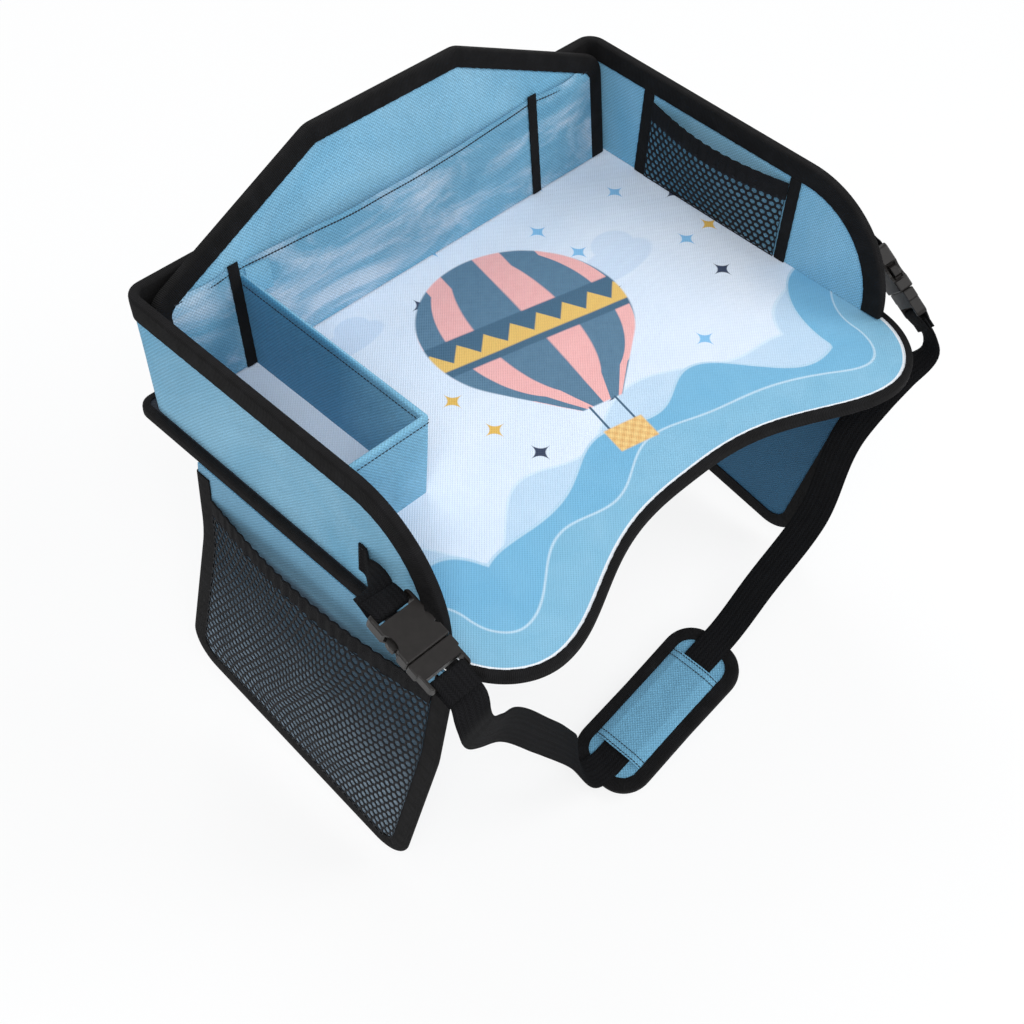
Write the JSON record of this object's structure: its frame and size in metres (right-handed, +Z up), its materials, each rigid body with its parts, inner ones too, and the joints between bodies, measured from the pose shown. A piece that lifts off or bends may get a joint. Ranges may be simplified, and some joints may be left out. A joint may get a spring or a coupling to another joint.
{
  "type": "car seat tray table",
  "caption": "Soft-sided lap tray for a child's car seat, with a tall pocketed back, storage box, mesh pockets, hanging side flaps and a buckled waist strap with a pad.",
  "frame": {"origin": "on the underside cloth's outer face, midway between the side walls and 155 mm in front of the back panel's foot", "axes": "+X to the picture's right along the tray's width, +Y from the child's belly to the tall back panel, +Z up"},
  "size_m": [0.4988, 0.3439, 0.4235],
  "materials": {
    "blue_cloth": "light blue woven oxford cloth",
    "padded_cloth": "light blue cloth over thin foam",
    "printed_cloth": "pale oxford cloth with a printed pattern",
    "dark_cloth": "dark blue woven cloth",
    "binding_tape": "black ribbed binding tape",
    "elastic_tape": "black ribbed elastic",
    "pocket_mesh": "black open pocket mesh",
    "webbing": "black flat woven webbing",
    "buckle_plastic": "fine-grained moulded plastic",
    "stiff_board": "grey stiffening board, sewn in"
  },
  "bodies": {
    "tray": {"back_panel_binding": "binding_tape", "back_panel_board": "stiff_board", "back_panel_front_cover": "blue_cloth", "back_panel_rear_cover": "blue_cloth", "back_pocket_band": "printed_cloth", "base_binding": "binding_tape", "base_board": "stiff_board", "box_divider_board": "stiff_board", "box_front_board": "stiff_board", "box_sleeve": "blue_cloth", "box_tab": "blue_cloth", "left_buckle_female": "buckle_plastic", "left_buckle_male": "buckle_plastic", "left_strap_fold": "webbing", "left_wall_board": "stiff_board", "left_wall_lining": "blue_cloth", "left_wall_tab": "webbing", "perimeter_binding": "binding_tape", "perimeter_outer_cover": "blue_cloth", "pocket_tape_left": "binding_tape", "pocket_tape_right": "binding_tape", "rear_wall_board": "stiff_board", "rear_wall_lining": "blue_cloth", "right_buckle_female": "buckle_plastic", "right_buckle_male": "buckle_plastic", "right_strap_fold": "webbing", "right_wall_board": "stiff_board", "right_wall_lining": "blue_cloth", "right_wall_tab": "webbing", "side_pocket_elastic": "elastic_tape", "side_pocket_net": "pocket_mesh", "side_pocket_tape_front": "binding_tape", "side_pocket_tape_rear": "binding_tape", "strap_webbing": "webbing", "tray_top_cover": "printed_cloth", "underside_cover": "dark_cloth"},
    "left_flap": {"left_flap_panel": "blue_cloth", "left_flap_binding": "binding_tape", "left_flap_net": "pocket_mesh", "left_flap_elastic": "elastic_tape"},
    "right_flap": {"right_flap_panel": "blue_cloth", "right_flap_binding": "binding_tape", "right_flap_pocket": "blue_cloth", "right_flap_pocket_hem": "blue_cloth"},
    "shoulder_pad": {"pad_cushion": "padded_cloth", "pad_binding": "binding_tape", "pad_sleeve": "blue_cloth"},
    "left_upper_prong": {"left_buckle_upper_prong": "buckle_plastic"},
    "left_lower_prong": {"left_buckle_lower_prong": "buckle_plastic"},
    "right_upper_prong": {"right_buckle_upper_prong": "buckle_plastic"},
    "right_lower_prong": {"right_buckle_lower_prong": "buckle_plastic"}
  },
  "joints": [
    {"name": "left_flap_hinge", "type": "hinge", "parent": "tray", "child": "left_flap", "pos_m": [-0.2202, 0, -0.0037], "axis": [0, 1, 0], "range_deg": [-85, 60]},
    {"name": "right_flap_hinge", "type": "hinge", "parent": "tray", "child": "right_flap", "pos_m": [0.2202, 0, -0.0037], "axis": [0, -1, 0], "range_deg": [-78, 60]},
    {"name": "shoulder_pad_slide", "type": "slide", "parent": "tray", "child": "shoulder_pad", "axis": [0.9455, 0, 0.3256], "range_m": [-0.006, 0.015]},
    {"name": "left_upper_prong_squeeze", "type": "hinge", "parent": "tray", "child": "left_upper_prong", "pos_m": [-0.22401, -0.11274, 0.03137], "axis": [-0.0349, -0.2922, 0.9557], "range_deg": [0, 8], "stiffness_Nm_per_rad": 0.25},
    {"name": "left_lower_prong_squeeze", "type": "hinge", "parent": "tray", "child": "left_lower_prong", "pos_m": [-0.24599, -0.11251, 0.03064], "axis": [0.0349, 0.2922, -0.9557], "range_deg": [0, 8], "stiffness_Nm_per_rad": 0.25},
    {"name": "right_upper_prong_squeeze", "type": "hinge", "parent": "tray", "child": "right_upper_prong", "pos_m": [0.22967, -0.11163, 0.02576], "axis": [-0.8746, 0.2711, -0.4019], "range_deg": [0, 8], "stiffness_Nm_per_rad": 0.25},
    {"name": "right_lower_prong_squeeze", "type": "hinge", "parent": "tray", "child": "right_lower_prong", "pos_m": [0.24033, -0.10087, 0.00981], "axis": [0.8746, -0.2711, 0.4019], "range_deg": [0, 8], "stiffness_Nm_per_rad": 0.25}
  ]
}
